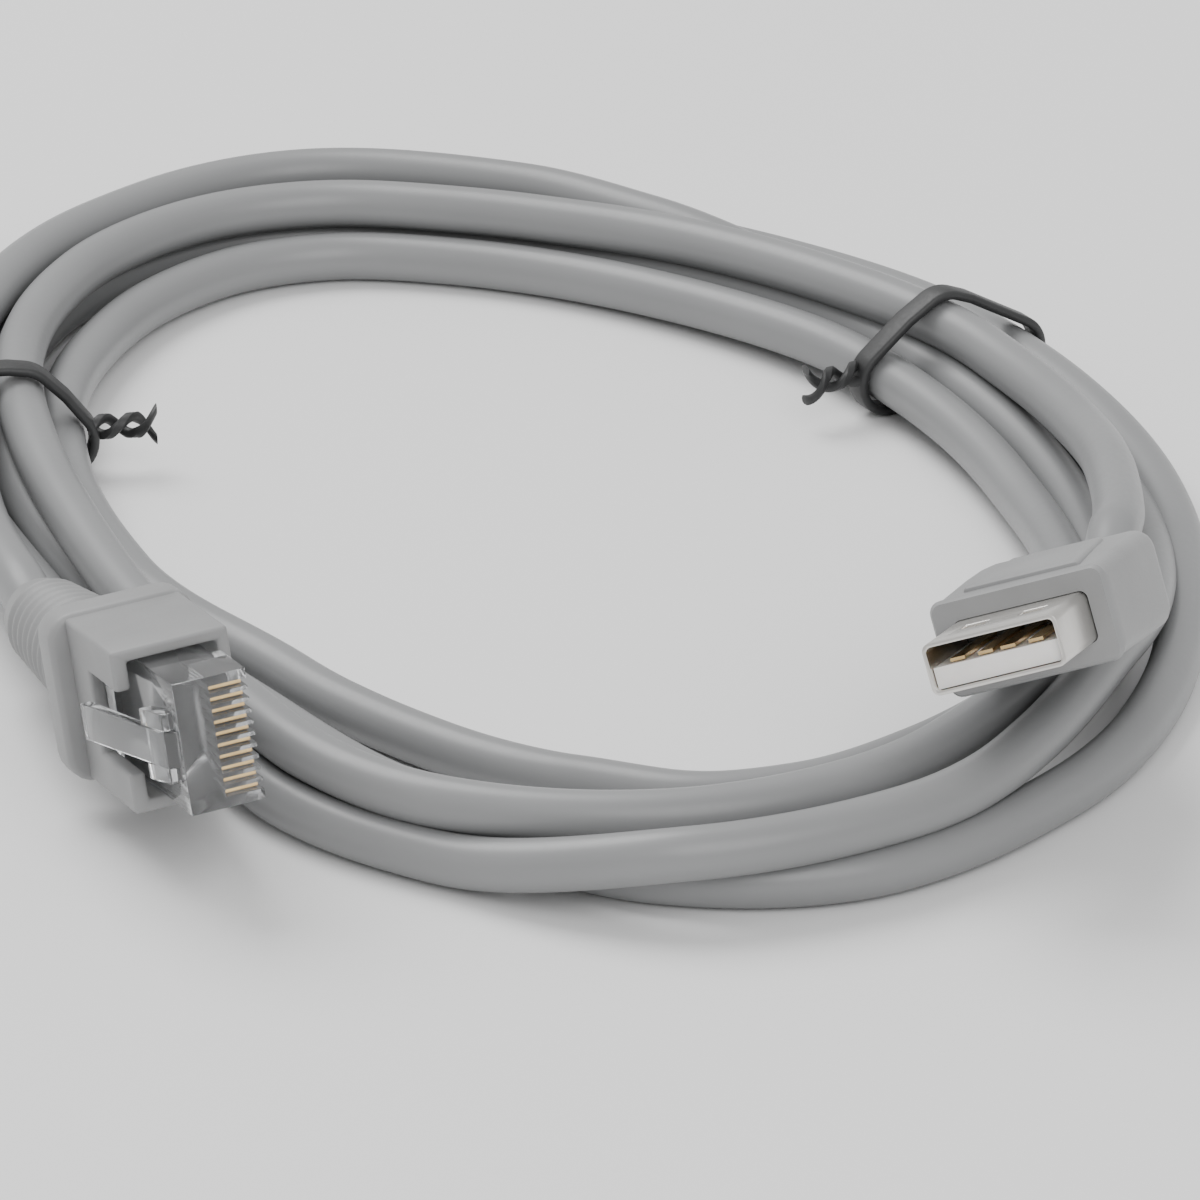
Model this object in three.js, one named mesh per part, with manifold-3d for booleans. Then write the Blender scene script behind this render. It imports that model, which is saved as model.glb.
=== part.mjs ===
// A data cable just under two metres long, wound in an open oval coil of four and a half turns by two
// twist ties. One end is a USB type A plug, the other a clear ten-way modular plug in a ribbed boot.
// Millimetres, +Z up, lying on a level floor with the middle of its footprint at the origin.
import * as THREE from 'three';
import * as BufferGeometryUtils from 'three/addons/utils/BufferGeometryUtils.js';
import Module from 'manifold-3d';

const wasm = await Module();
wasm.setup();

const gap = 0.3;                 // clearance between pieces that touch
const contactGap = 0.1;          // clearance round the small contacts

const jacket = 4.7;              // cable diameter
const pitch = 4.85;              // from one turn to the next beside it
const layerRise = 4.2;           // from one layer of turns to the next above it
const floorGap = 0.05;           // under the lowest turns

const tie = { width: 2.6, thickness: 0.9, tail: 6, tailWidth: 2.2, slack: 0.35 };

const usb = {
  width: 12, height: 4.5, reach: 11.9, wall: 0.35, holeSize: 2.2, holeFromMouth: 5.2, holeSpread: 5.2,
  tongueHeight: 1.85, tongueSet: 0.6, contactWidth: 1.3, contactThick: 0.3,
  contactSpots: [-3.5, -1, 1, 3.5], contactSet: 1.4,
  bodyLength: 21, bodyWidth: 16.4, bodyHeight: 8.6, noseWidth: 15.2, noseHeight: 8, neckLength: 9,
};

const modular = {
  length: 21.5, width: 11.68, noseHeight: 6.6, rearHeight: 6.6, rearStep: 0.9, contacts: 10, contactPitch: 1.02,
  slotWidth: 0.62, slotDepth: 3.4, slotLength: 5.6, bladeThick: 0.34,
  latchWidth: 3.25, latchShoulder: 6.3, latchLength: 15, latchThick: 1.0, latchLift: 4.2,
};

const boot = {
  wall: 1.1, sleeveLength: 13, flangeWidth: 15.2, flangeDepth: 13.4, flangeThick: 2.6,
  flangeCorner: 2.4, tailLength: 24, tailRadius: 5.2, tailEnd: 3.5, ribs: 7,
};

const footprintMiddle = [-4.726, 11.264];

const usbPlace = { spot: [33, -63.5, 23.2], heading: -105.9, climb: 13.8, lean: 20 };
const modularPlace = { spot: [-32.05, -64.15, 15.5], heading: -69.8, climb: 9.9, lean: 5.3 };

// The middle line of the wound turns, seen from above, anticlockwise from the right-hand side
const loop = [
  [45, -3], [44.2, 12], [40.5, 27], [34.2, 41.5], [25.4, 55.3], [13.7, 66.9], [0.5, 76], [-13, 81.5],
  [-27, 83.5], [-40, 79], [-50, 68], [-55.5, 53], [-57, 36], [-54.5, 18], [-49.5, 0], [-42.5, -19],
  [-33.5, -36.5], [-22, -49.5], [-8, -56.5], [7, -57], [20.5, -51], [30.5, -40.5], [38.5, -28.5],
  [43.5, -16.5],
];

// Where the cable lies in the bundle: stations along the loop, turns outward, layers up
const lay = [
  [-0.9, 0.4, 2.7], [0.4, 0.3, 2.05], [1.7, 0.35, 1.3], [2.9, 0.34, 1], [4.2, -0.05, 1], [5.3, -0.15, 1],
  [6.4, -0.42, 1], [7.6, -0.5, 1], [13.5, -0.45, 1], [15.1, -0.42, 1], [16, -0.35, 1], [16.8, 0.1, 1], [17.7, 0.5, 1],
  [20.3, 0.56, 1], [22.2, 0.1, 0.95], [25.6, -0.98, 0.08], [27, -1, 0], [31, -1.12, 0], [34.4, -1.5, 0],
  [37.3, -1.14, 0], [38.2, -1.3, 0], [39.5, -2.55, 0], [40.9, -3.06, 0], [42.3, -2.75, 0],
  [43.6, -1.6, 0], [45.4, -0.65, 0], [48.6, 0, 0], [60.6, -0.1, 0], [62.4, -0.5, 0], [64, -1.38, 0],
  [65.3, -1.05, 0], [66.84, 1.2, 0], [67.9, 2.2, 0], [69.1, 2.28, 0], [71.4, 1.6, 0], [74, 1.8, 0],
  [77.5, 1.85, 0], [81, 1, 0], [84.4, 1, 0], [86.4, 0.5, 0], [88, 0.05, 0], [88.7, 0.48, 0], [89.7, 0.93, 0.03], [90.96, 2.1, 1],
  [92, 2.1, 1.05], [94.6, 0.95, 1], [97.6, 1, 0], [100.4, 0.95, 0.05], [101.8, 0.8, 0.85],
  [102.7, 1.02, 1.05], [104, 1.08, 1.1], [105.6, 0.65, 1.08], [108.4, 0.65, 1.04], [110.2, 1.3, 1.08],
  [110.5, 1.31, 1.1],
];

const usbRear = usb.reach + usb.bodyLength + usb.neckLength;
const rearTop = modular.noseHeight / 2 - modular.rearStep;
const rearBottom = rearTop - modular.rearHeight;
const plugMiddle = (rearTop + rearBottom) / 2;
const bootRear = modular.length + gap + 1 + boot.flangeThick - 0.5 + boot.tailLength;
const stations = loop.length;
const lastStation = lay[lay.length - 1][0];
const outerRun = { from: 69.15, to: 71.0, steps: 8, sides: 8, clear: 0.22 };
const usbLead = { from: lay[0][0], to: 0.27, steps: 6, sides: 8 };
const modularLead = { from: 110.35, to: lastStation, steps: 2, sides: 8 };
const leadClear = 0.1;
const coilSteps = 72;
const coilSides = 12;

const tieStations = { tie_right: 3.35, tie_left: 12.45 };
const tieReach = 2;

const gray = { color: 0x85878a, roughness: 0.5, metalness: 0 };
const looks = {
  cable: gray,
  moulding: { color: 0x8a8b8d, roughness: 0.55, metalness: 0 },
  tie: { color: 0x35363a, roughness: 0.5, metalness: 0 },
  steel: { color: 0xc9c6bf, roughness: 0.25, metalness: 1 },
  gold: { color: 0xd2a85a, roughness: 0.3, metalness: 1 },
  insulator: { color: 0xf0ece2, roughness: 0.5, metalness: 0 },
  clear: { color: 0xdfe6e8, roughness: 0.15, metalness: 0 },
};

const cable = new THREE.Group();

function addPiece(parent, name, geometry, look) {
  const mesh = new THREE.Mesh(geometry, new THREE.MeshStandardMaterial(looks[look]));
  mesh.name = name;
  parent.add(mesh);
  return mesh;
}

// Solids in and out of the boolean library

function toSolid(geometry) {
  const bare = geometry.clone();
  bare.deleteAttribute('normal');
  bare.deleteAttribute('uv');
  const merged = BufferGeometryUtils.mergeVertices(bare, 1e-4);
  return new wasm.Manifold(new wasm.Mesh({
    numProp: 3,
    vertProperties: new Float32Array(merged.attributes.position.array),
    triVerts: new Uint32Array(merged.index.array),
  }));
}

function toGeometry(solid) {
  const mesh = solid.getMesh();
  const geometry = new THREE.BufferGeometry();
  geometry.setAttribute('position', new THREE.BufferAttribute(new Float32Array(mesh.vertProperties), 3));
  geometry.setIndex(new THREE.BufferAttribute(new Uint32Array(mesh.triVerts), 1));
  geometry.computeVertexNormals();
  return geometry;
}

function boxAt(x0, x1, y0, y1, z0, z1) {
  const box = new THREE.BoxGeometry(x1 - x0, y1 - y0, z1 - z0);
  return box.translate((x0 + x1) / 2, (y0 + y1) / 2, (z0 + z1) / 2);
}

// A closed body through rings of equal point count, ends capped unless the rings form a ring
function skin(rings, closed) {
  const count = rings[0].length;
  const positions = rings.flat().flatMap((p) => [p.x, p.y, p.z]);
  const faces = [];
  const spans = closed ? rings.length : rings.length - 1;
  for (let i = 0; i < spans; i += 1) {
    const here = i * count;
    const next = ((i + 1) % rings.length) * count;
    for (let j = 0; j < count; j += 1) {
      const k = (j + 1) % count;
      faces.push(here + j, here + k, next + j, next + j, here + k, next + k);
    }
  }
  if (!closed) {
    const end = (rings.length - 1) * count;
    for (let j = 1; j < count - 1; j += 1) {
      faces.push(0, j + 1, j, end, end + j, end + j + 1);
    }
  }
  const geometry = new THREE.BufferGeometry();
  geometry.setAttribute('position', new THREE.Float32BufferAttribute(positions, 3));
  geometry.setIndex(faces);
  geometry.computeVertexNormals();
  return geometry;
}

// A rounded rectangle across the X axis at x, as a ring of points
function roundedRing(x, width, height, corner, perCorner = 3) {
  const points = [];
  const corners = [[1, 1], [-1, 1], [-1, -1], [1, -1]];
  corners.forEach(([sy, sz], c) => {
    for (let i = 0; i < perCorner; i += 1) {
      const angle = (c + i / (perCorner - 1)) * Math.PI / 2;
      points.push(new THREE.Vector3(
        x,
        sy * (width / 2 - corner) + corner * Math.cos(angle),
        sz * (height / 2 - corner) + corner * Math.sin(angle),
      ));
    }
  });
  return points;
}

function roundRing(x, radius, sides) {
  return Array.from({ length: sides }, (_, i) => {
    const angle = (i / sides) * Math.PI * 2;
    return new THREE.Vector3(x, radius * Math.cos(angle), radius * Math.sin(angle));
  });
}

// The route of the cable

const loopCurve = new THREE.CatmullRomCurve3(
  loop.map(([x, y]) => new THREE.Vector3(x - footprintMiddle[0], y - footprintMiddle[1], 0)),
  true, 'catmullrom', 0.5,
);

function loopFrame(station) {
  const t = (((station % stations) + stations) % stations) / stations;
  const point = loopCurve.getPoint(t);
  const along = loopCurve.getTangent(t);
  return { point, along, out: new THREE.Vector3(along.y, -along.x, 0) };
}

// The slope of the lay at a key, so that the cable bends evenly and never past a key
function laySlope(i, column) {
  const grade = (k) => (lay[k + 1][column] - lay[k][column]) / (lay[k + 1][0] - lay[k][0]);
  if (i === 0) return grade(0);
  if (i === lay.length - 1) return grade(i - 1);
  const before = grade(i - 1);
  const after = grade(i);
  return before * after > 0 ? (2 * before * after) / (before + after) : 0;
}

function layValue(i, column, station) {
  const span = lay[i + 1][0] - lay[i][0];
  const u = Math.min(1, Math.max(0, (station - lay[i][0]) / span));
  const a = 2 * u ** 3 - 3 * u ** 2 + 1;
  return lay[i][column] * a + lay[i + 1][column] * (1 - a)
    + span * ((u ** 3 - 2 * u ** 2 + u) * laySlope(i, column) + (u ** 3 - u ** 2) * laySlope(i + 1, column));
}

function layAt(station) {
  const last = lay.length - 2;
  let i = 0;
  while (i < last && station > lay[i + 1][0]) i += 1;
  return { out: layValue(i, 1, station) * pitch, up: layValue(i, 2, station) * layerRise };
}

// How far the turns rise from the floor where they lie over the ties
function tieRise(station) {
  const full = tie.slack + tie.thickness;
  return Object.values(tieStations).reduce((most, at) => {
    const away = Math.abs((((station - at) % stations) + 1.5 * stations) % stations - stations / 2);
    return Math.max(most, full * Math.exp(-((away / tieReach) ** 2)));
  }, 0);
}

function cordHeight(station, up) {
  return jacket / 2 + floorGap + tieRise(station) + up;
}

function cordPoint(station) {
  const { point, out } = loopFrame(station);
  const place = layAt(station);
  return point.addScaledVector(out, place.out).setZ(cordHeight(station, place.up));
}

// The cable turns that lie together at a station, as offsets outward and up
function turnsAt(station) {
  const turns = [];
  for (let s = station; s <= lastStation; s += stations) {
    const apart = s > outerRun.from - outerRun.clear && s < outerRun.to + outerRun.clear;
    if (s > usbLead.to + leadClear && s < modularLead.from - leadClear && !apart) {
      const place = layAt(s);
      turns.push([place.out, cordHeight(station, place.up)]);
    }
  }
  return turns;
}

// The tight many-sided wrap round the turns at a station
function wrapAt(station, sides, grow) {
  const turns = turnsAt(station);
  const step = (Math.PI * 2) / sides;
  const reach = Array.from({ length: sides }, (_, j) => {
    const angle = j * step;
    return Math.max(...turns.map(([o, z]) => o * Math.cos(angle) + z * Math.sin(angle))) + jacket / 2 + grow;
  });
  return reach.map((a, j) => {
    const b = reach[(j + 1) % sides];
    const angle = j * step;
    const o = (a * Math.sin(angle + step) - b * Math.sin(angle)) / Math.sin(step);
    const z = (b * Math.cos(angle) - a * Math.cos(angle + step)) / Math.sin(step);
    return [o, z];
  });
}

function coil() {
  const rings = [];
  for (let i = 0; i < coilSteps; i += 1) {
    const station = (i / coilSteps) * stations;
    const { point, out } = loopFrame(station);
    const wrap = wrapAt(station, coilSides, 0).reverse();
    rings.push(wrap.map(([o, z]) => point.clone().addScaledVector(out, o).setZ(z)));
  }
  return skin(rings, true);
}

function roundSection(radius, sides) {
  const section = new THREE.Shape();
  for (let i = 0; i < sides; i += 1) {
    const angle = ((i + 0.5) / sides) * Math.PI * 2;
    const x = radius * Math.cos(angle);
    const y = radius * Math.sin(angle);
    if (i === 0) section.moveTo(x, y);
    else section.lineTo(x, y);
  }
  section.closePath();
  return section;
}

function tube(points, radius, steps, sides) {
  const path = new THREE.CatmullRomCurve3(points);
  return new THREE.ExtrudeGeometry(roundSection(radius, sides), { steps, extrudePath: path, bevelEnabled: false });
}

// A tie: a flat band round the turns with its two ends twisted together on the inside of the coil
function twistTie(name, station) {
  const holder = new THREE.Group();
  const { point, along } = loopFrame(station);
  holder.position.copy(point);
  holder.rotation.z = Math.atan2(along.y, along.x) - Math.PI / 2;
  cable.add(holder);
  const inner = wrapAt(station, coilSides, tie.slack);
  const outer = wrapAt(station, coilSides, tie.slack + tie.thickness);
  const shape = new THREE.Shape(outer.map(([o, z]) => new THREE.Vector2(o, z)));
  shape.holes.push(new THREE.Path(inner.map(([o, z]) => new THREE.Vector2(o, z))));
  const band = new THREE.ExtrudeGeometry(shape, { depth: tie.width, bevelEnabled: false });
  band.translate(0, 0, -tie.width / 2).rotateX(Math.PI / 2);
  const innermost = Math.min(...outer.map(([o]) => o));
  const tailHeight = jacket;
  const tail = boxAt(
    innermost - tie.tail, innermost + tie.thickness / 2, -tie.tailWidth / 2, tie.tailWidth / 2,
    tailHeight - tie.tailWidth / 2, tailHeight + tie.tailWidth / 2,
  );
  addPiece(holder, name, toGeometry(toSolid(band).add(toSolid(tail))), 'tie');
}

// USB plug, mouth at x = 0 facing +X, contacts looking up

function usbShell() {
  const { width, height, reach, wall, holeSize, holeFromMouth, holeSpread } = usb;
  const rear = -reach - 2;
  let shell = toSolid(boxAt(rear, 0, -width / 2, width / 2, -height / 2, height / 2));
  shell = shell.subtract(toSolid(boxAt(
    rear - 1, 1, -width / 2 + wall, width / 2 - wall, -height / 2 + wall, height / 2 - wall,
  )));
  for (const side of [-1, 1]) {
    const y = (side * holeSpread) / 2;
    shell = shell.subtract(toSolid(boxAt(
      -holeFromMouth - holeSize, -holeFromMouth, y - holeSize / 2, y + holeSize / 2, -height, height,
    )));
  }
  return toGeometry(shell);
}

function usbTongue() {
  const { width, height, reach, wall, tongueHeight, tongueSet } = usb;
  const side = width / 2 - wall - contactGap;
  const floor = -height / 2 + wall + contactGap;
  return boxAt(-reach - 1.6, -tongueSet, -side, side, floor, floor + tongueHeight);
}

function usbContact(y) {
  const { height, reach, wall, tongueHeight, contactWidth, contactThick, contactSet } = usb;
  const base = -height / 2 + wall + tongueHeight + 2 * contactGap;
  return boxAt(-reach - 1.4, -contactSet, y - contactWidth / 2, y + contactWidth / 2, base, base + contactThick);
}

function usbBody() {
  const { width, height, reach, bodyLength, bodyWidth, bodyHeight, noseWidth, noseHeight, neckLength } = usb;
  const front = -reach;
  const rear = front - bodyLength;
  const rings = [
    roundedRing(rear - neckLength, jacket + 1.6, jacket + 1.6, jacket / 2 + 0.75),
    roundedRing(rear - neckLength * 0.45, jacket + 3.4, jacket + 2.4, jacket / 2 + 0.9),
    roundedRing(rear - 0.8, bodyWidth * 0.72, bodyHeight * 0.86, 2.2),
    roundedRing(rear + 1.2, bodyWidth * 0.96, bodyHeight, 1.8),
    roundedRing(rear + 3, bodyWidth, bodyHeight, 1.6),
    roundedRing(front - 2, bodyWidth - 0.6, bodyHeight - 0.3, 1.4),
    roundedRing(front - 0.6, noseWidth + 0.6, noseHeight + 0.5, 1.1),
    roundedRing(front, noseWidth, noseHeight, 0.9),
  ];
  const pocket = boxAt(
    -reach - 2 - gap, 1, -width / 2 - gap, width / 2 + gap, -height / 2 - gap, height / 2 + gap,
  );
  return toGeometry(toSolid(skin(rings, false)).subtract(toSolid(pocket)));
}

function addUsbPlug() {
  const plug = placed(usbPlace);
  cable.add(plug);
  addPiece(plug, 'usb_shell', usbShell(), 'steel');
  addPiece(plug, 'usb_tongue', usbTongue(), 'insulator');
  usb.contactSpots.forEach((y, i) => addPiece(plug, `usb_contact_${i + 1}`, usbContact(y), 'gold'));
  addPiece(plug, 'usb_overmould', usbBody(), 'moulding');
}

// Modular plug, nose at x = 0 facing +X, latch towards -Y, contacts towards +Y, width along Z

function slab(profile, half) {
  const shape = new THREE.Shape(profile.map(([x, y]) => new THREE.Vector2(x, y)));
  return new THREE.ExtrudeGeometry(shape, { depth: 2 * half, bevelEnabled: false }).translate(0, 0, -half);
}

function contactHeight(i) {
  return (i - (modular.contacts - 1) / 2) * modular.contactPitch;
}

function modularBody() {
  const { length, width, noseHeight, slotWidth, slotDepth, slotLength } = modular;
  const { latchWidth, latchShoulder, latchLength, latchThick, latchLift } = modular;
  const top = noseHeight / 2;
  const bottom = -noseHeight / 2;
  const profile = [
    [0, bottom], [0, top], [-slotLength - 0.8, top], [-slotLength - 1.4, rearTop],
    [-length, rearTop], [-length, rearBottom], [-9, bottom],
  ];
  let body = toSolid(slab(profile, width / 2));
  const latch = [
    [-0.3, bottom + 0.4], [-0.3, bottom - 0.2], [-1.6, bottom - 1.3], [-latchLength, bottom - latchLift],
    [-latchLength, bottom - latchLift + latchThick], [-3.2, bottom - 0.9], [-1.9, bottom + 0.4],
  ];
  body = body.add(toSolid(slab(latch, latchWidth / 2)));
  const shoulder = [
    [-1.2, bottom + 0.3], [-1.2, bottom - 0.9], [-4.6, bottom - 1.9], [-4.6, bottom - 0.7], [-2, bottom + 0.3],
  ];
  body = body.add(toSolid(slab(shoulder, latchShoulder / 2)));
  for (let i = 0; i < modular.contacts; i += 1) {
    const z = contactHeight(i);
    body = body.subtract(toSolid(boxAt(
      -slotLength, 1, top - slotDepth, top + 1, z - slotWidth / 2, z + slotWidth / 2,
    )));
  }
  return toGeometry(body);
}

function modularContact(i) {
  const { noseHeight, slotDepth, slotLength, bladeThick } = modular;
  const z = contactHeight(i);
  const top = noseHeight / 2 - 0.35;
  return boxAt(
    -slotLength + contactGap, -0.7, noseHeight / 2 - slotDepth + contactGap, top,
    z - bladeThick / 2, z + bladeThick / 2,
  );
}

function bootBody() {
  const { wall, sleeveLength, flangeWidth, flangeDepth, flangeThick, flangeCorner } = boot;
  const { tailLength, tailRadius, tailEnd, ribs } = boot;
  const { length, width, noseHeight } = modular;
  const sleeveFront = -length + sleeveLength;
  const rear = -length - gap;
  let body = toSolid(boxAt(
    rear - 1, sleeveFront, rearBottom - 0.6 - wall, noseHeight / 2 + gap + wall,
    -width / 2 - gap - wall, width / 2 + gap + wall,
  ));
  const flange = [roundedRing(rear - 1 - flangeThick, flangeDepth, flangeWidth, flangeCorner),
    roundedRing(rear + 0.2, flangeDepth, flangeWidth, flangeCorner)];
  body = body.add(toSolid(skin(flange, false).translate(0, plugMiddle, 0)));
  const tailFront = tailLength - bootRear;
  const rings = [];
  const ribStep = tailLength / (2 * ribs + 1);
  for (let i = 0; i <= 2 * ribs + 1; i += 1) {
    const x = tailFront - tailLength + i * ribStep;
    const share = i / (2 * ribs + 1);
    const swell = i % 2 === 0 ? 0 : 0.45;
    rings.push(roundRing(x, tailEnd + (tailRadius - tailEnd) * share + swell, 16));
  }
  body = body.add(toSolid(skin(rings, false).translate(0, plugMiddle, 0)));
  const pocket = boxAt(rear, 1, rearBottom - 0.3, noseHeight / 2 + gap, -width / 2 - gap, width / 2 + gap);
  body = body.subtract(toSolid(pocket));
  const latchSlot = boxAt(
    sleeveFront - 8, 1, rearBottom - 0.6 - wall - 1, rearBottom, -modular.latchShoulder / 2 - 0.5,
    modular.latchShoulder / 2 + 0.5,
  );
  return toGeometry(body.subtract(toSolid(latchSlot)));
}

function addModularPlug() {
  const plug = placed(modularPlace);
  cable.add(plug);
  addPiece(plug, 'modular_plug', modularBody(), 'clear');
  for (let i = 0; i < modular.contacts; i += 1) {
    addPiece(plug, `modular_contact_${i + 1}`, modularContact(i), 'gold');
  }
  addPiece(plug, 'boot', bootBody(), 'moulding');
}

function placed({ spot, heading, climb, lean }) {
  const group = new THREE.Group();
  group.position.set(spot[0] - footprintMiddle[0], spot[1] - footprintMiddle[1], spot[2]);
  group.rotation.set(
    THREE.MathUtils.degToRad(lean), -THREE.MathUtils.degToRad(climb), THREE.MathUtils.degToRad(heading), 'ZYX',
  );
  group.updateMatrixWorld();
  return group;
}

function looseRun({ from, to, steps, sides }, before = [], after = []) {
  const points = [...before];
  const count = 3;
  for (let i = 0; i <= count; i += 1) {
    points.push(cordPoint(from + ((to - from) * i) / count));
  }
  return tube([...points, ...after], jacket / 2, steps, sides);
}

// Points on the axis of a plug behind its rear end, nearest first
function behind(place, rear, side) {
  return [gap, 3, 6].map((back) => placed(place).localToWorld(new THREE.Vector3(-rear - back, side, 0)));
}

addPiece(cable, 'cable_coil', coil(), 'cable');
addPiece(cable, 'cable_outer_run', looseRun(outerRun), 'cable');
addPiece(cable, 'cable_usb_lead', looseRun(usbLead, behind(usbPlace, usbRear, 0)), 'cable');
addPiece(cable, 'cable_modular_lead', looseRun(
  modularLead, [], behind(modularPlace, bootRear, plugMiddle).reverse(),
), 'cable');
for (const [name, station] of Object.entries(tieStations)) twistTie(name, station);
addUsbPlug();
addModularPlug();

export default cable;
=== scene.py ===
import math

import bmesh
import bpy
from mathutils import Matrix, Vector


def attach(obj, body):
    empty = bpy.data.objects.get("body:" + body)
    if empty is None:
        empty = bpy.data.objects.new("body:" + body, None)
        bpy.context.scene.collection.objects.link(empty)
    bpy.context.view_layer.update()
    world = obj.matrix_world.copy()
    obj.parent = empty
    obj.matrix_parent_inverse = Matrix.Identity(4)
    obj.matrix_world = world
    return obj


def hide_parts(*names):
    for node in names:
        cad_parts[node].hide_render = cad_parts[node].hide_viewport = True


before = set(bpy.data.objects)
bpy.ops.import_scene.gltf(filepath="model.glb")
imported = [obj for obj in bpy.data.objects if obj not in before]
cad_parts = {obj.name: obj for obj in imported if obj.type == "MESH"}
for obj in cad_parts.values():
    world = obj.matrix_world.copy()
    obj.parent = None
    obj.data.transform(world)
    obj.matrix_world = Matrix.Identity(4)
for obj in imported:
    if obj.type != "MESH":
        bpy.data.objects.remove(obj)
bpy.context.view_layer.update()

mm = 0.001
footprintMiddle = (-4.726, 11.264)    # of the whole coil, in the loop's own millimetres


def place(x, y, z):
    return Vector(((x - footprintMiddle[0]) * mm, (y - footprintMiddle[1]) * mm, z * mm))


# Camera: 860 mm away, 24 degrees above the floor, looking along +Y

view = {"distance": 860, "elevation": 24, "lens": 283.8, "sensor": 36}


def addCamera():
    camera = bpy.data.cameras.new("camera")
    camera.lens = view["lens"]
    camera.sensor_width = view["sensor"]
    camera.sensor_fit = "HORIZONTAL"
    camera.clip_start = 0.05
    camera.clip_end = 20
    holder = bpy.data.objects.new("camera", camera)
    bpy.context.scene.collection.objects.link(holder)
    tilt = math.radians(view["elevation"])
    target = place(0, 0, 0)
    back = Vector((0, -math.cos(tilt), math.sin(tilt)))
    holder.location = target + back * view["distance"] * mm
    holder.rotation_euler = (math.radians(90) - tilt, 0, 0)
    bpy.context.scene.camera = holder


addCamera()
print("camera set")


# Mesh helpers

def addObject(name, mesh):
    piece = bpy.data.objects.new(name, mesh)
    bpy.context.scene.collection.objects.link(piece)
    return piece


def ringMesh(name, rings, closed=False):
    mesh = bpy.data.meshes.new(name)
    count = len(rings[0])
    faces = []
    spans = len(rings) if closed else len(rings) - 1
    for i in range(spans):
        here, following = i * count, ((i + 1) % len(rings)) * count
        for j in range(count):
            k = (j + 1) % count
            faces.append((here + j, here + k, following + k, following + j))
    if not closed:
        faces.append(tuple(range(count))[::-1])
        faces.append(tuple((len(rings) - 1) * count + j for j in range(count)))
    mesh.from_pydata([tuple(p) for ring in rings for p in ring], [], faces)
    fixNormals(mesh)
    return mesh


def fixNormals(mesh):
    work = bmesh.new()
    work.from_mesh(mesh)
    bmesh.ops.recalc_face_normals(work, faces=work.faces)
    work.to_mesh(mesh)
    work.free()


def boxMesh(name, low, high):
    x0, y0, z0 = low
    x1, y1, z1 = high
    ring = [(y0, z0), (y1, z0), (y1, z1), (y0, z1)]
    return ringMesh(name, [[Vector((x, y, z)) for y, z in ring] for x in (x0, x1)])


def slabMesh(name, profile, low, high):
    return ringMesh(name, [[Vector((x, y, z)) for x, y in profile] for z in (low, high)])


def roundedSection(width, height, corner, steps=6):
    section = []
    for quarter, (sy, sz) in enumerate([(1, 1), (-1, 1), (-1, -1), (1, -1)]):
        for i in range(steps):
            angle = (quarter + i / (steps - 1)) * math.pi / 2
            section.append((
                sy * (width / 2 - corner) + corner * math.cos(angle),
                sz * (height / 2 - corner) + corner * math.sin(angle),
            ))
    return section


def loft(name, stations):    # stations: x, width, height, corner, and how far the middle lies up
    rings = []
    for x, width, height, corner, up in stations:
        rings.append([Vector((x, y, z + up)) for y, z in roundedSection(width, height, corner)])
    return ringMesh(name, rings)


def baked(piece):
    graph = bpy.context.evaluated_depsgraph_get()
    mesh = bpy.data.meshes.new_from_object(piece.evaluated_get(graph))
    piece.modifiers.clear()
    piece.data = mesh
    return piece


def cut(piece, *tools, operation="DIFFERENCE"):
    for tool in tools:
        helper = addObject("helper", tool)
        change = piece.modifiers.new("cut", "BOOLEAN")
        change.operation = operation
        change.solver = "EXACT"
        change.object = helper
        baked(piece)
        bpy.data.objects.remove(helper)
    return piece


def softened(piece, width, segments=3, angle=35):
    edge = piece.modifiers.new("edge", "BEVEL")
    edge.width = width
    edge.segments = segments
    edge.limit_method = "ANGLE"
    edge.angle_limit = math.radians(angle)
    return smoothed(baked(piece), angle)


def smoothed(piece, angle=35):
    for face in piece.data.polygons:
        face.use_smooth = True
    piece.data.set_sharp_from_angle(angle=math.radians(angle))
    return piece


def joined(name, *parts):
    work = bmesh.new()
    for part in parts:
        work.from_mesh(part.data)
    mesh = bpy.data.meshes.new(name)
    work.to_mesh(mesh)
    work.free()
    for part in parts:
        bpy.data.objects.remove(part)
    return addObject(name, mesh)


# Shader groups that the materials share

def newGroup(name, inputs, outputs):
    group = bpy.data.node_groups.new(name, "ShaderNodeTree")
    for label, kind, value in inputs:
        socket = group.interface.new_socket(label, in_out="INPUT", socket_type=kind)
        socket.default_value = value
    for label, kind in outputs:
        group.interface.new_socket(label, in_out="OUTPUT", socket_type=kind)
    return group, group.nodes.new("NodeGroupInput"), group.nodes.new("NodeGroupOutput")


def wire(tree, *links):
    for start, end in links:
        tree.links.new(start, end)


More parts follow.
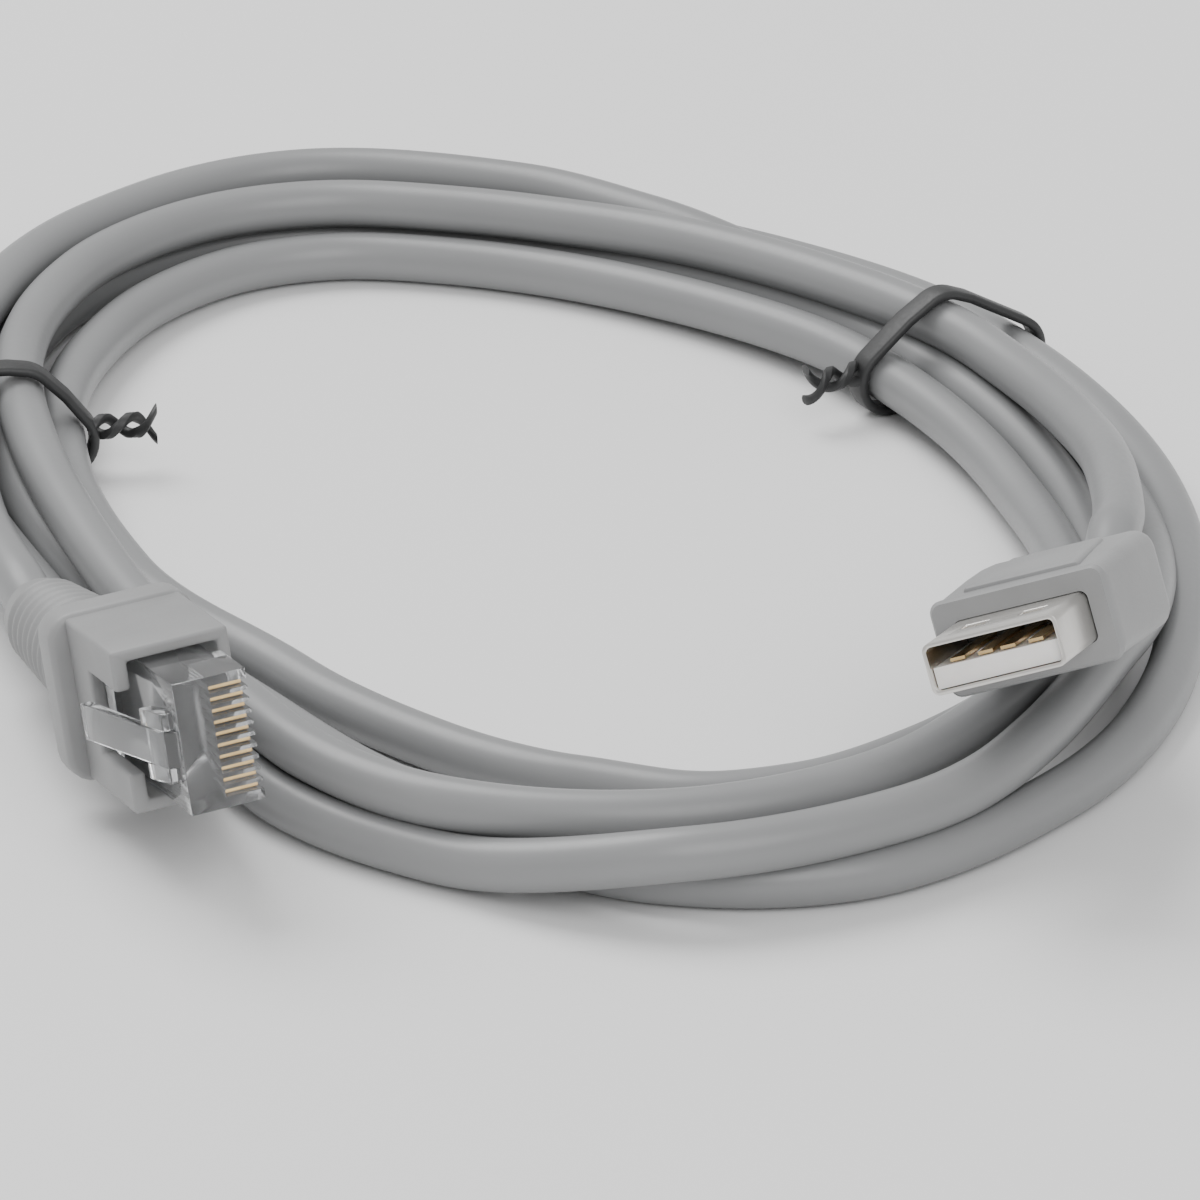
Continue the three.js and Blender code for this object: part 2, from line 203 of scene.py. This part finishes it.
def moulded():
    group, given, result = newGroup(
        "mouldedPlastic",
        [("Base", "NodeSocketColor", (0.3, 0.3, 0.3, 1)), ("Clouding", "NodeSocketFloat", 0.1),
         ("Cloud Scale", "NodeSocketFloat", 60.0), ("Grain Scale", "NodeSocketFloat", 2500.0),
         ("Roughness", "NodeSocketFloat", 0.45), ("Roughness Spread", "NodeSocketFloat", 0.1)],
        [("Color", "NodeSocketColor"), ("Roughness", "NodeSocketFloat"), ("Height", "NodeSocketFloat")],
    )
    nodes = group.nodes
    spot = nodes.new("ShaderNodeTexCoord")
    cloud = nodes.new("ShaderNodeTexNoise")
    cloud.inputs["Detail"].default_value = 4
    grain = nodes.new("ShaderNodeTexNoise")
    grain.inputs["Detail"].default_value = 3
    spread = nodes.new("ShaderNodeMapRange")    # clouding as a gain on the base colour
    spread.inputs["From Min"].default_value = 0.3
    spread.inputs["From Max"].default_value = 0.7
    low = nodes.new("ShaderNodeMath")
    low.operation = "SUBTRACT"
    low.inputs[0].default_value = 1
    high = nodes.new("ShaderNodeMath")
    high.operation = "ADD"
    high.inputs[0].default_value = 1
    tint = nodes.new("ShaderNodeVectorMath")
    tint.operation = "SCALE"
    rough = nodes.new("ShaderNodeMath")
    rough.operation = "MULTIPLY_ADD"
    wire(
        group,
        (spot.outputs["Object"], cloud.inputs["Vector"]), (spot.outputs["Object"], grain.inputs["Vector"]),
        (given.outputs["Cloud Scale"], cloud.inputs["Scale"]),
        (given.outputs["Grain Scale"], grain.inputs["Scale"]),
        (cloud.outputs["Fac"], spread.inputs["Value"]),
        (given.outputs["Clouding"], low.inputs[1]), (given.outputs["Clouding"], high.inputs[1]),
        (low.outputs[0], spread.inputs["To Min"]), (high.outputs[0], spread.inputs["To Max"]),
        (given.outputs["Base"], tint.inputs[0]), (spread.outputs[0], tint.inputs["Scale"]),
        (tint.outputs[0], result.inputs["Color"]),
        (grain.outputs["Fac"], rough.inputs[0]), (given.outputs["Roughness Spread"], rough.inputs[1]),
        (given.outputs["Roughness"], rough.inputs[2]), (rough.outputs[0], result.inputs["Roughness"]),
        (grain.outputs["Fac"], result.inputs["Height"]),
    )
    return group


def drawnMetal():
    group, given, result = newGroup(
        "drawnMetal",
        [("Base", "NodeSocketColor", (0.8, 0.8, 0.8, 1)), ("Tarnish", "NodeSocketColor", (0.5, 0.5, 0.5, 1)),
         ("Smear Scale", "NodeSocketFloat", 250.0), ("Line Scale", "NodeSocketFloat", 3000.0),
         ("Roughness", "NodeSocketFloat", 0.2), ("Roughness Spread", "NodeSocketFloat", 0.15)],
        [("Color", "NodeSocketColor"), ("Roughness", "NodeSocketFloat"), ("Height", "NodeSocketFloat")],
    )
    nodes = group.nodes
    spot = nodes.new("ShaderNodeTexCoord")
    stretch = nodes.new("ShaderNodeMapping")
    stretch.inputs["Scale"].default_value = (1, 0.12, 1)
    smear = nodes.new("ShaderNodeTexNoise")
    smear.inputs["Detail"].default_value = 3
    line = nodes.new("ShaderNodeTexNoise")
    line.inputs["Detail"].default_value = 2
    blend = nodes.new("ShaderNodeMix")    # its colours are inputs 6 and 7, and its mixed colour output 2
    blend.data_type = "RGBA"
    rough = nodes.new("ShaderNodeMath")
    rough.operation = "MULTIPLY_ADD"
    wire(
        group,
        (spot.outputs["Object"], smear.inputs["Vector"]), (spot.outputs["Object"], stretch.inputs["Vector"]),
        (stretch.outputs[0], line.inputs["Vector"]),
        (given.outputs["Smear Scale"], smear.inputs["Scale"]),
        (given.outputs["Line Scale"], line.inputs["Scale"]),
        (smear.outputs["Fac"], blend.inputs[0]), (given.outputs["Base"], blend.inputs[6]),
        (given.outputs["Tarnish"], blend.inputs[7]), (blend.outputs[2], result.inputs["Color"]),
        (smear.outputs["Fac"], rough.inputs[0]), (given.outputs["Roughness Spread"], rough.inputs[1]),
        (given.outputs["Roughness"], rough.inputs[2]), (rough.outputs[0], result.inputs["Roughness"]),
        (line.outputs["Fac"], result.inputs["Height"]),
    )
    return group


groups = {"moulded": moulded(), "drawnMetal": drawnMetal()}


def newMaterial(name, group, values, bump, plain):
    material = bpy.data.materials.new(name)
    material.use_nodes = True
    tree = material.node_tree
    shader = tree.nodes["Principled BSDF"]
    effect = tree.nodes.new("ShaderNodeGroup")
    effect.node_tree = groups[group]
    for label, value in values.items():
        effect.inputs[label].default_value = value
    relief = tree.nodes.new("ShaderNodeBump")
    relief.inputs["Strength"].default_value = bump[0]
    relief.inputs["Distance"].default_value = bump[1] * mm
    for label, value in plain.items():
        shader.inputs[label].default_value = value
    wire(
        tree,
        (effect.outputs["Roughness"], shader.inputs["Roughness"]),
        (effect.outputs["Height"], relief.inputs["Height"]),
        (relief.outputs["Normal"], shader.inputs["Normal"]),
        (effect.outputs["Color"], shader.inputs["Base Color"]),
    )
    return material


def grey(level, warm=0.0):
    return (level * (1 + warm), level, level * (1 - warm), 1)


materials = {
    "jacket": newMaterial(
        "jacketPvc", "moulded",
        {"Base": grey(0.235, -0.012), "Clouding": 0.05, "Cloud Scale": 45, "Grain Scale": 1800,
         "Roughness": 0.3, "Roughness Spread": 0.14},
        (0.12, 0.04), {"IOR": 1.5, "Specular IOR Level": 0.5},
    ),
    "moulding": newMaterial(
        "mouldedGrip", "moulded",
        {"Base": grey(0.27, -0.005), "Clouding": 0.06, "Cloud Scale": 130, "Grain Scale": 4200,
         "Roughness": 0.4, "Roughness Spread": 0.16},
        (0.25, 0.05), {"IOR": 1.5, "Specular IOR Level": 0.45},
    ),
    "tie": newMaterial(
        "tieCoating", "moulded",
        {"Base": grey(0.026, -0.02), "Clouding": 0.2, "Cloud Scale": 250, "Grain Scale": 2600,
         "Roughness": 0.38, "Roughness Spread": 0.2},
        (0.3, 0.05), {"IOR": 1.48},
    ),
    "insulator": newMaterial(
        "insulatorNylon", "moulded",
        {"Base": grey(0.82, 0.03), "Clouding": 0.04, "Cloud Scale": 300, "Grain Scale": 3000,
         "Roughness": 0.35, "Roughness Spread": 0.12},
        (0.15, 0.03), {"IOR": 1.53, "Subsurface Weight": 0.1, "Subsurface Scale": 0.001},
    ),
    "shell": newMaterial(
        "nickelPlate", "drawnMetal",
        {"Base": (0.78, 0.76, 0.72, 1), "Tarnish": (0.6, 0.585, 0.56, 1),
         "Smear Scale": 260, "Line Scale": 2600, "Roughness": 0.22, "Roughness Spread": 0.16},
        (0.12, 0.03), {"Metallic": 1},
    ),
    "contacts": newMaterial(
        "goldFlash", "drawnMetal",
        {"Base": (0.95, 0.72, 0.38, 1), "Tarnish": (0.78, 0.52, 0.24, 1),
         "Smear Scale": 900, "Line Scale": 5000, "Roughness": 0.16, "Roughness Spread": 0.14},
        (0.1, 0.02), {"Metallic": 1},
    ),
    "clear": newMaterial(
        "clearMoulding", "moulded",
        {"Base": grey(0.93, -0.01), "Clouding": 0.03, "Cloud Scale": 220, "Grain Scale": 1500,
         "Roughness": 0.03, "Roughness Spread": 0.1},
        (0.1, 0.03), {"IOR": 1.49, "Transmission Weight": 0.95},
    ),
}


def finished(piece, look, *nodes):
    piece.data.materials.clear()
    piece.data.materials.append(materials[look])
    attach(piece, "root")
    if nodes:
        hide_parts(*nodes)
    return piece


def dressNodes(look, *nodes):
    for node in nodes:
        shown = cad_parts[node]
        shown.data.materials.clear()
        shown.data.materials.append(materials[look])


print("materials made")


# The cable: one round cord from the USB plug's neck to the modular plug's boot

jacket = {
    "diameter": 4.7, "pitch": 4.85, "layerRise": 4.2, "floorGap": 0.05, "stationStep": 0.1,
    "leadEnd": 0.37,    # station where the USB plug's lead joins the turns
}
ties = {
    "stations": {"tie_right": 3.35, "tie_left": 12.45}, "reach": 2, "slack": 0.35,
    "thickness": 0.9, "width": 2.6, "tailLength": 6.5, "tailHeight": 4.7, "tailInset": 0.6, "twist": 2.5,
    "spread": 0.75, "flare": 0.8, "flareFrom": 0.7, "strandWidth": 1.3, "strandCorner": 0.4,
}
usbPlace = {"spot": (33, -63.5, 23.2), "heading": -105.9, "climb": 13.8, "lean": 20}
modularPlace = {"spot": (-32.05, -64.15, 15.5), "heading": -69.8, "climb": 9.9, "lean": 5.3}

# Middle line of the wound turns, seen from above, anticlockwise from the right-hand side
loop = [
    (45, -3), (44.2, 12), (40.5, 27), (34.2, 41.5), (25.4, 55.3), (13.7, 66.9), (0.5, 76), (-13, 81.5),
    (-27, 83.5), (-40, 79), (-50, 68), (-55.5, 53), (-57, 36), (-54.5, 18), (-49.5, 0), (-42.5, -19),
    (-33.5, -36.5), (-22, -49.5), (-8, -56.5), (7, -57), (20.5, -51), (30.5, -40.5), (38.5, -28.5),
    (43.5, -16.5),
]

# Where the cable lies in the bundle: station along the loop, turns outward, layers up
lay = [
    (-0.9, 0.4, 2.7), (0.4, 0.3, 2.05), (1.7, 0.35, 1.3), (2.9, 0.34, 1), (4.2, -0.05, 1),
    (5.3, -0.15, 1), (6.4, -0.42, 1), (7.6, -0.5, 1), (13.5, -0.45, 1), (15.1, -0.42, 1),
    (16, -0.35, 1), (16.8, 0.1, 1), (17.7, 0.5, 1), (20.3, 0.56, 1), (22.2, 0.1, 0.95),
    (25.6, -0.98, 0.08), (27, -1, 0), (31, -1.12, 0), (34.4, -1.5, 0), (37.3, -1.14, 0),
    (38.2, -1.3, 0), (39.5, -2.55, 0), (40.9, -3.06, 0), (42.3, -2.75, 0), (43.6, -1.6, 0),
    (45.4, -0.65, 0), (48.6, 0, 0), (60.6, -0.1, 0), (62.4, -0.5, 0), (64, -1.38, 0), (65.3, -1.05, 0),
    (66.84, 1.2, 0), (67.9, 2.2, 0), (69.1, 2.28, 0), (71.4, 1.6, 0), (74, 1.8, 0), (77.5, 1.85, 0),
    (81, 1, 0), (84.4, 1, 0), (86.4, 0.5, 0), (88, 0.05, 0), (88.7, 0.48, 0), (89.7, 0.93, 0.03),
    (90.96, 2.1, 1), (92, 2.1, 1.05), (94.6, 0.95, 1), (97.6, 1, 0), (100.4, 0.95, 0.05),
    (101.8, 0.8, 0.85), (102.7, 1.02, 1.05), (104, 1.08, 1.1), (105.6, 0.65, 1.08), (108.4, 0.65, 1.04),
    (110.2, 1.3, 1.08), (110.5, 1.31, 1.1),
]


def hermite(u, start, end, startPull, endPull):
    a = 2 * u ** 3 - 3 * u ** 2 + 1
    b = u ** 3 - 2 * u ** 2 + u
    return start * a + startPull * b + end * (1 - a) + endPull * (u ** 3 - u ** 2)


def loopPoint(station):
    count = len(loop)
    i = math.floor(station)
    before, here, after, beyond = (Vector(loop[(i + k) % count]) for k in (-1, 0, 1, 2))
    return hermite(station - i, here, after, (after - before) / 2, (beyond - here) / 2)


def loopFrame(station):
    along = (loopPoint(station + 0.001) - loopPoint(station - 0.001)).normalized()
    return loopPoint(station), along, Vector((along.y, -along.x))


def laySlope(i, column):    # so that the cable bends evenly and never past a key
    def grade(k):
        return (lay[k + 1][column] - lay[k][column]) / (lay[k + 1][0] - lay[k][0])
    if i == 0:
        return grade(0)
    if i == len(lay) - 1:
        return grade(i - 1)
    before, after = grade(i - 1), grade(i)
    return 2 * before * after / (before + after) if before * after > 0 else 0


def layValue(i, column, station):
    span = lay[i + 1][0] - lay[i][0]
    u = min(1, max(0, (station - lay[i][0]) / span))
    return hermite(u, lay[i][column], lay[i + 1][column],
                   span * laySlope(i, column), span * laySlope(i + 1, column))


def layAt(station):
    i = 0
    while i < len(lay) - 2 and station > lay[i + 1][0]:
        i += 1
    return layValue(i, 1, station) * jacket["pitch"], layValue(i, 2, station) * jacket["layerRise"]


def tieRise(station):
    full = ties["slack"] + ties["thickness"]
    half = len(loop) / 2
    away = [abs((station - at + half) % len(loop) - half) for at in ties["stations"].values()]
    return full * math.exp(-(min(away) / ties["reach"]) ** 2)


def cordHeight(station, up):
    return jacket["diameter"] / 2 + jacket["floorGap"] + tieRise(station) + up


def cordPoint(station):
    point, along, outward = loopFrame(station)
    out, up = layAt(station)
    middle = point + outward * out
    return place(middle.x, middle.y, cordHeight(station, up))


def plugMatrix(spot, heading, climb, lean):
    turn = Matrix.Rotation(math.radians(heading), 4, "Z")
    turn @= Matrix.Rotation(math.radians(-climb), 4, "Y")
    turn @= Matrix.Rotation(math.radians(lean), 4, "X")
    return Matrix.Translation(place(*spot)) @ turn @ Matrix.Scale(mm, 4)


usbMatrix = plugMatrix(**usbPlace)
modularMatrix = plugMatrix(**modularPlace)

usb = {
    "width": 12, "height": 4.5, "reach": 11.9, "wall": 0.35, "corner": 0.7,
    "holeSize": 2.2, "holeFromMouth": 5.2, "holeSpread": 5.2,
    "bodyLength": 21, "bodyWidth": 16.4, "bodyHeight": 8.6, "noseWidth": 15.2, "noseHeight": 8,
    "neckLength": 9,
}
usbRear = usb["reach"] + usb["bodyLength"] + usb["neckLength"]

modular = {
    "length": 21.5, "width": 11.68, "noseHeight": 6.6, "rearHeight": 6.6, "rearStep": 0.9,
    "contacts": 10, "contactPitch": 1.02, "slotWidth": 0.62, "slotDepth": 3.4, "slotLength": 5.6,
    "latchWidth": 3.25, "latchShoulder": 6.3, "latchLength": 15, "latchThick": 1.0, "latchLift": 4.2,
}
rearTop = modular["noseHeight"] / 2 - modular["rearStep"]
rearBottom = rearTop - modular["rearHeight"]
plugMiddle = (rearTop + rearBottom) / 2

boot = {
    "gap": 0.3, "wall": 1.1, "sleeveLength": 13, "flangeWidth": 15.2, "flangeDepth": 13.4,
    "flangeThick": 2.6, "flangeCorner": 2.4, "tailLength": 24, "tailRadius": 5.2, "tailEnd": 3.5,
    "ribs": 9, "ribPitch": 2.0, "ribRise": 0.4, "ribStart": 4.0,
}
bootRear = modular["length"] + boot["gap"] + 1 + boot["flangeThick"] - 0.5 + boot["tailLength"]


def bridge(start, startPull, end, endPull, steps):    # cord between a plug's rear and the turns
    return [hermite(i / steps, start, end, startPull, endPull) for i in range(steps)]


def cordPath():
    first, last = lay[0][0], lay[-1][0]
    into = 3    # how far the cord reaches into each moulding
    neck = usbMatrix @ Vector((-usbRear + into, 0, 0))
    neckMouth = usbMatrix @ Vector((-usbRear - 0.5, 0, 0))
    tail = modularMatrix @ Vector((-bootRear + into, plugMiddle, 0))
    tailMouth = modularMatrix @ Vector((-bootRear - 0.5, plugMiddle, 0))
    startWay = (cordPoint(first + 0.02) - cordPoint(first)).normalized()
    endWay = (cordPoint(last) - cordPoint(last - 0.02)).normalized()
    startPull = (cordPoint(first) - neckMouth).length
    endPull = (tailMouth - cordPoint(last)).length
    path = [neck]
    path += bridge(neckMouth, (neckMouth - neck).normalized() * startPull, cordPoint(first),
                   startWay * startPull, 8)
    steps = round((last - first) / jacket["stationStep"])
    path += [cordPoint(first + (last - first) * i / steps) for i in range(steps)]
    path += bridge(cordPoint(last), endWay * endPull, tailMouth, (tail - tailMouth).normalized() * endPull, 5)
    return path + [tailMouth, tail]


def addCable():
    path = cordPath()
    line = bpy.data.curves.new("cable", "CURVE")
    line.dimensions = "3D"
    spline = line.splines.new("POLY")
    spline.points.add(len(path) - 1)
    for knot, point in zip(spline.points, path):
        knot.co = (*point, 1)
    spline.use_smooth = True
    line.bevel_depth = jacket["diameter"] / 2 * mm
    line.bevel_resolution = 7
    line.use_fill_caps = True
    cable = addObject("cable", line)
    finished(cable, "jacket", "cable_coil", "cable_outer_run", "cable_usb_lead", "cable_modular_lead")
    length = sum((b - a).length for a, b in zip(path, path[1:]))
    print("cable length", round(length, 3))
    return cable, path, length


cable, cablePath, cableLength = addCable()
print("cable laid")


# Twist ties: a band round the turns, its two ends twisted together

def turnsAt(station):
    turns = []
    turn = station
    while turn <= lay[-1][0]:
        if turn > jacket["leadEnd"]:
            out, up = layAt(turn)
            turns.append((out, cordHeight(station, up)))
        turn += len(loop)
    return turns


def wrapAt(station, sides, grow):
    turns = turnsAt(station)
    step = 2 * math.pi / sides
    reach = []
    for j in range(sides):
        angle = j * step
        reach.append(max(o * math.cos(angle) + z * math.sin(angle) for o, z in turns)
                     + jacket["diameter"] / 2 + grow)
    wrap = []
    for j in range(sides):
        a, b, angle = reach[j], reach[(j + 1) % sides], j * step
        wrap.append((
            (a * math.sin(angle + step) - b * math.sin(angle)) / math.sin(step),
            (b * math.cos(angle) - a * math.cos(angle + step)) / math.sin(step),
        ))
    return wrap


def addTie(name, station):
    point, along, outward = loopFrame(station)
    grow = ties["slack"] + ties["thickness"] / 2
    wrap = wrapAt(station, 48, grow)
    rings = []
    for i, (o, z) in enumerate(wrap):
        before, after = wrap[i - 1], wrap[(i + 1) % len(wrap)]
        way = Vector((after[0] - before[0], after[1] - before[1]))
        if way.length < 1e-6:
            continue
        way.normalize()
        normal = Vector((way.y, -way.x))
        ring = []
        for y, t in roundedSection(ties["width"], ties["thickness"], ties["thickness"] * 0.45, 4):
            offset = outward * (o + normal.x * t) + along * y
            ring.append(place(point.x + offset.x, point.y + offset.y, z + normal.y * t))
        rings.append(ring)
    band = addObject("band", ringMesh("band", rings, closed=True))
    innermost = min(wrap, key=lambda spot: spot[0])[0]
    strands = [tieTail(point, along, outward, innermost, turn) for turn in (0, math.pi)]
    return smoothed(joined(name + "_twisted", band, *strands), 50)


def tieTail(point, along, outward, innermost, turn):
    rings = []
    steps = 40
    for i in range(steps + 1):
        u = i / steps
        angle = turn + u * ties["twist"] * math.pi
        spread = ties["spread"] + ties["flare"] * max(0, u - ties["flareFrom"]) / (1 - ties["flareFrom"])
        middle = Vector((
            innermost + ties["tailInset"] - u * ties["tailLength"],
            spread * math.cos(angle), ties["tailHeight"] + spread * math.sin(angle),
        ))
        ring = []
        for y, t in roundedSection(ties["strandWidth"], ties["thickness"], ties["strandCorner"], 3):
            side = Vector((0, -math.sin(angle), math.cos(angle)))
            up = Vector((0, math.cos(angle), math.sin(angle)))
            spot = middle + side * y + up * t
            offset = outward * spot.x + along * spot.y
            ring.append(place(point.x + offset.x, point.y + offset.y, spot.z))
        rings.append(ring)
    return addObject("strand", ringMesh("strand", rings))


for tieNode, tieStation in ties["stations"].items():
    finished(addTie(tieNode, tieStation), "tie", tieNode)
print("ties made")


# USB plug, its mouth at x = 0 and facing +X, in millimetres before its matrix

def usbShell():
    width, height, wall = usb["width"], usb["height"], usb["wall"]
    front, rear = 0, -usb["reach"] - 2
    outer = loft("shell", [(rear, width, height, usb["corner"], 0), (front, width, height, usb["corner"], 0)])
    shell = addObject("shell", outer)
    cut(shell, loft("hollow", [
        (rear - 1, width - 2 * wall, height - 2 * wall, usb["corner"] - wall * 0.6, 0),
        (front + 1, width - 2 * wall, height - 2 * wall, usb["corner"] - wall * 0.6, 0),
    ]))
    windows = []
    for side in (-1, 1):
        y = side * usb["holeSpread"] / 2
        windows.append(boxMesh(
            "window", (-usb["holeFromMouth"] - usb["holeSize"], y - usb["holeSize"] / 2, -height),
            (-usb["holeFromMouth"], y + usb["holeSize"] / 2, height),
        ))
    cut(shell, *windows)
    softened(shell, 0.06, 2, 40)
    shell.data.transform(usbMatrix)
    shell.name = "usb_shell_folded"
    return shell


def usbMoulding():
    front = -usb["reach"]
    rear = front - usb["bodyLength"]
    neck = usb["neckLength"]
    width, height = usb["bodyWidth"], usb["bodyHeight"]
    cord = jacket["diameter"]
    body = addObject("body", loft("body", [
        (rear - neck, cord + 1.6, cord + 1.6, cord / 2 + 0.75, 0),
        (rear - neck * 0.72, cord + 2.2, cord + 1.9, cord / 2 + 0.8, 0),
        (rear - neck * 0.45, cord + 3.4, cord + 2.4, cord / 2 + 0.9, 0),
        (rear - neck * 0.2, width * 0.6, height * 0.82, 2.6, 0),
        (rear - 0.8, width * 0.76, height * 0.88, 2.2, 0),
        (rear + 0.3, width * 0.9, height * 0.96, 1.9, 0),
        (rear + 1.6, width * 0.97, height, 1.8, 0),
        (rear + 3.2, width, height, 1.6, 0),
        (rear + 9, width - 0.1, height, 1.5, 0),
        (front - 2, width - 0.6, height - 0.3, 1.4, 0),
        (front - 0.6, usb["noseWidth"] + 0.6, usb["noseHeight"] + 0.5, 1.1, 0),
        (front, usb["noseWidth"], usb["noseHeight"], 0.9, 0),
    ]))
    cut(body, loft("pocket", [
        (front - 2 - boot["gap"], usb["width"] + 0.1, usb["height"] + 0.1, usb["corner"], 0),
        (1, usb["width"] + 0.1, usb["height"] + 0.1, usb["corner"], 0),
    ]))
    plateau = addObject("plateau", loft("plateau", [
        (rear + 3.6, 8.6, 1, 0.45, height / 2 - 0.15), (front - 3.2, 10.6, 1, 0.45, height / 2 - 0.2),
    ]))
    softened(plateau, 0.3, 3, 40)
    smoothed(body, 28)
    moulding = smoothed(joined("usb_overmould_grip", body, plateau), 28)
    moulding.data.transform(usbMatrix)
    return moulding


finished(usbShell(), "shell", "usb_shell")
finished(usbMoulding(), "moulding", "usb_overmould")
dressNodes("insulator", "usb_tongue")
usbContacts = [f"usb_contact_{i + 1}" for i in range(4)]
dressNodes("contacts", *usbContacts)
print("usb plug made")


# Modular plug: nose at x = 0 facing +X, latch towards -Y, contacts towards +Y, width along Z

def contactHeight(i):
    return (i - (modular["contacts"] - 1) / 2) * modular["contactPitch"]


def clearBody():
    length, half = modular["length"], modular["width"] / 2
    slotLength, slotDepth = modular["slotLength"], modular["slotDepth"]
    top = modular["noseHeight"] / 2
    bottom = -top
    body = addObject("body", slabMesh("body", [
        (0, bottom), (0, top), (-slotLength - 0.8, top), (-slotLength - 1.4, rearTop),
        (-length, rearTop), (-length, rearBottom), (-9, bottom),
    ], -half, half))
    thick, lift, reach = modular["latchThick"], modular["latchLift"], modular["latchLength"]
    latch = slabMesh("latch", [
        (-0.3, bottom + 0.4), (-0.3, bottom - 0.2), (-1.6, bottom - 1.3), (-reach, bottom - lift),
        (-reach, bottom - lift + thick), (-3.2, bottom - 0.9), (-1.9, bottom + 0.4),
    ], -modular["latchWidth"] / 2, modular["latchWidth"] / 2)
    shoulder = slabMesh("shoulder", [
        (-1.2, bottom + 0.3), (-1.2, bottom - 0.9), (-4.6, bottom - 1.9), (-4.6, bottom - 0.7),
        (-2, bottom + 0.3),
    ], -modular["latchShoulder"] / 2, modular["latchShoulder"] / 2)
    cut(body, latch, shoulder, operation="UNION")
    slots = []
    for i in range(modular["contacts"]):
        z = contactHeight(i)
        slots.append(boxMesh(
            "slot", (-slotLength, top - slotDepth, z - modular["slotWidth"] / 2),
            (1, top + 1, z + modular["slotWidth"] / 2),
        ))
    cut(body, *slots)
    softened(body, 0.1, 2, 40)
    body.data.transform(modularMatrix)
    body.name = "modular_plug_clear"
    return body


def bootSleeve():
    wall, gap = boot["wall"], boot["gap"]
    half = modular["width"] / 2 + gap
    top = modular["noseHeight"] / 2 + gap
    rear = -modular["length"] - gap
    front = -modular["length"] + boot["sleeveLength"]
    low = rearBottom - 0.6
    outer = boxMesh("sleeve", (rear - 1, low - wall, -half - wall), (front, top + wall, half + wall))
    sleeve = addObject("sleeve", outer)
    pocket = boxMesh("pocket", (rear, rearBottom - 0.3, -half), (1, top, half))
    shoulder = modular["latchShoulder"] / 2 + 0.5
    latchSlot = boxMesh("latchSlot", (front - 8, low - wall - 1, -shoulder), (1, rearBottom, shoulder))
    cut(sleeve, pocket, latchSlot)
    return softened(sleeve, 0.35, 3, 40)


def bootFlange():
    rear = -modular["length"] - boot["gap"]
    low, high = rear - 1 - boot["flangeThick"], rear + 0.2
    flange = addObject("flange", loft("flange", [
        (low, boot["flangeDepth"], boot["flangeWidth"], boot["flangeCorner"], 0),
        (high, boot["flangeDepth"], boot["flangeWidth"], boot["flangeCorner"], 0),
    ]))
    flange.data.transform(Matrix.Translation((0, plugMiddle, 0)))
    return softened(flange, 0.6, 4, 40)


def bootTail():
    front = boot["tailLength"] - bootRear
    rings = []
    steps = 160
    for i in range(steps + 1):
        back = boot["tailLength"] * i / steps
        radius = boot["tailRadius"] + (boot["tailEnd"] - boot["tailRadius"]) * back / boot["tailLength"]
        phase = (back - boot["ribStart"]) / boot["ribPitch"]
        if 0 <= phase <= boot["ribs"]:
            radius += boot["ribRise"] * math.sin(math.pi * (phase % 1)) ** 4
        rings.append([
            Vector((front - back, plugMiddle + radius * math.cos(a), radius * math.sin(a)))
            for a in (2 * math.pi * j / 40 for j in range(40))
        ])
    return addObject("tail", ringMesh("tail", rings))


def bootMoulding():
    moulding = smoothed(joined("boot_ribbed", bootSleeve(), bootFlange(), bootTail()), 40)
    moulding.data.transform(modularMatrix)
    return moulding


finished(clearBody(), "clear", "modular_plug")
finished(bootMoulding(), "moulding", "boot")
modularContacts = [f"modular_contact_{i + 1}" for i in range(modular["contacts"])]
dressNodes("contacts", *modularContacts)
print("modular plug made")


# Pale floor and soft light

studio = {
    "floor": 6.0, "floorTone": 0.82,
    "key": {"spot": (-0.5, 0.55, 1.1), "size": 1.0, "power": 16},
    "fill": {"spot": (0.35, -0.9, 0.8), "size": 0.9, "power": 7},
    "sky": 0.75,
}


def addFloor():
    half = studio["floor"] / 2
    mesh = bpy.data.meshes.new("floor")
    corners = [(-half, -half, 0), (half, -half, 0), (half, half, 0), (-half, half, 0)]
    mesh.from_pydata(corners, [], [(0, 1, 2, 3)])
    floor = addObject("floor", mesh)
    paper = bpy.data.materials.new("palePaper")
    paper.use_nodes = True
    tree = paper.node_tree
    shader = tree.nodes["Principled BSDF"]
    spot = tree.nodes.new("ShaderNodeTexCoord")
    noise = tree.nodes.new("ShaderNodeTexNoise")
    noise.inputs["Scale"].default_value = 3
    tone = tree.nodes.new("ShaderNodeMapRange")
    tone.inputs["To Min"].default_value = studio["floorTone"] - 0.01
    tone.inputs["To Max"].default_value = studio["floorTone"] + 0.01
    shader.inputs["Roughness"].default_value = 0.7
    wire(
        tree,
        (spot.outputs["Object"], noise.inputs["Vector"]), (noise.outputs["Fac"], tone.inputs["Value"]),
        (tone.outputs[0], shader.inputs["Base Color"]),
    )
    floor.data.materials.append(paper)


def addLight(name, spot, size, power):
    lamp = bpy.data.lights.new(name, "AREA")
    lamp.shape = "DISK"
    lamp.size = size
    lamp.energy = power
    holder = bpy.data.objects.new(name, lamp)
    bpy.context.scene.collection.objects.link(holder)
    holder.location = spot
    holder.rotation_euler = (-Vector(spot)).to_track_quat("-Z", "Y").to_euler()


def addSky():
    sky = bpy.data.worlds.new("studio")
    bpy.context.scene.world = sky
    sky.use_nodes = True
    glow = sky.node_tree.nodes["Background"]
    glow.inputs["Color"].default_value = (1, 1, 1, 1)
    glow.inputs["Strength"].default_value = studio["sky"]


addFloor()
addLight("key", **studio["key"])
addLight("fill", **studio["fill"])
addSky()
print("studio set")
